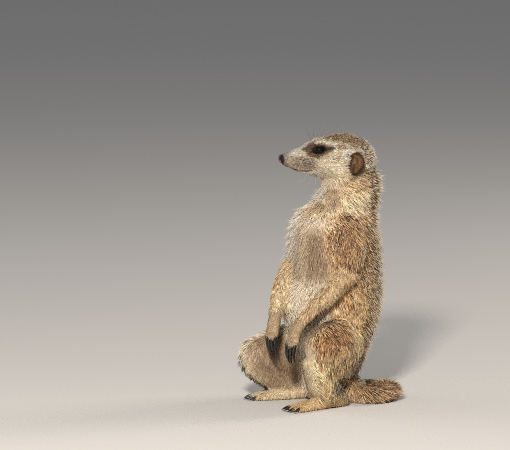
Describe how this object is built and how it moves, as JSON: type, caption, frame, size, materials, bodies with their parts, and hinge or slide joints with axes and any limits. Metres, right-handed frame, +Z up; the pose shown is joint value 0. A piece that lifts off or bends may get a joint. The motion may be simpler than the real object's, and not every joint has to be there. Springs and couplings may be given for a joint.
{
  "type": "sitting meerkat",
  "caption": "Life-size still meerkat, sitting upright on its haunches with hanging forepaws, head turned to its right and tail curled round behind it.",
  "frame": {"origin": "middle of the footprint, at floor level: the bottom centre of the bounding box", "axes": "+Z up, -Y the way the chest faces, +X towards the animal's left"},
  "size_m": [0.1152, 0.1374, 0.2417],
  "materials": {
    "coat": "long grizzled fur, golden brown with dark and pale bands on each hair",
    "pale_coat": "short cream fur",
    "tail_coat": "tan tail fur",
    "dark_coat": "blackish brown fur",
    "eye": "wet gloss",
    "ear": "dark thinly furred skin",
    "nose": "moist dark skin",
    "claw": "satin black horn"
  },
  "bodies": {
    "root": {"abdomen": "coat", "chest": "coat", "claw_foot_left_1": "claw", "claw_foot_left_2": "claw", "claw_foot_left_3": "claw", "claw_foot_left_4": "claw", "claw_foot_right_1": "claw", "claw_foot_right_2": "claw", "claw_foot_right_3": "claw", "claw_foot_right_4": "claw", "claw_hand_left_1": "claw", "claw_hand_left_2": "claw", "claw_hand_left_3": "claw", "claw_hand_left_4": "claw", "claw_hand_right_1": "claw", "claw_hand_right_2": "claw", "claw_hand_right_3": "claw", "claw_hand_right_4": "claw", "ear_left": "ear", "ear_right": "ear", "eye_left": "eye", "eye_right": "eye", "foot_left": "pale_coat", "foot_right": "pale_coat", "forearm_left": "pale_coat", "forearm_right": "pale_coat", "hand_left": "pale_coat", "hand_right": "pale_coat", "head": "pale_coat", "lower_jaw": "pale_coat", "neck": "coat", "nose": "nose", "pelvis": "coat", "shank_left": "coat", "shank_right": "coat", "tail_base": "tail_coat", "tail_middle": "tail_coat", "tail_tip": "dark_coat", "thigh_left": "coat", "thigh_right": "coat", "upper_arm_left": "coat", "upper_arm_right": "coat"}
  },
  "joints": []
}
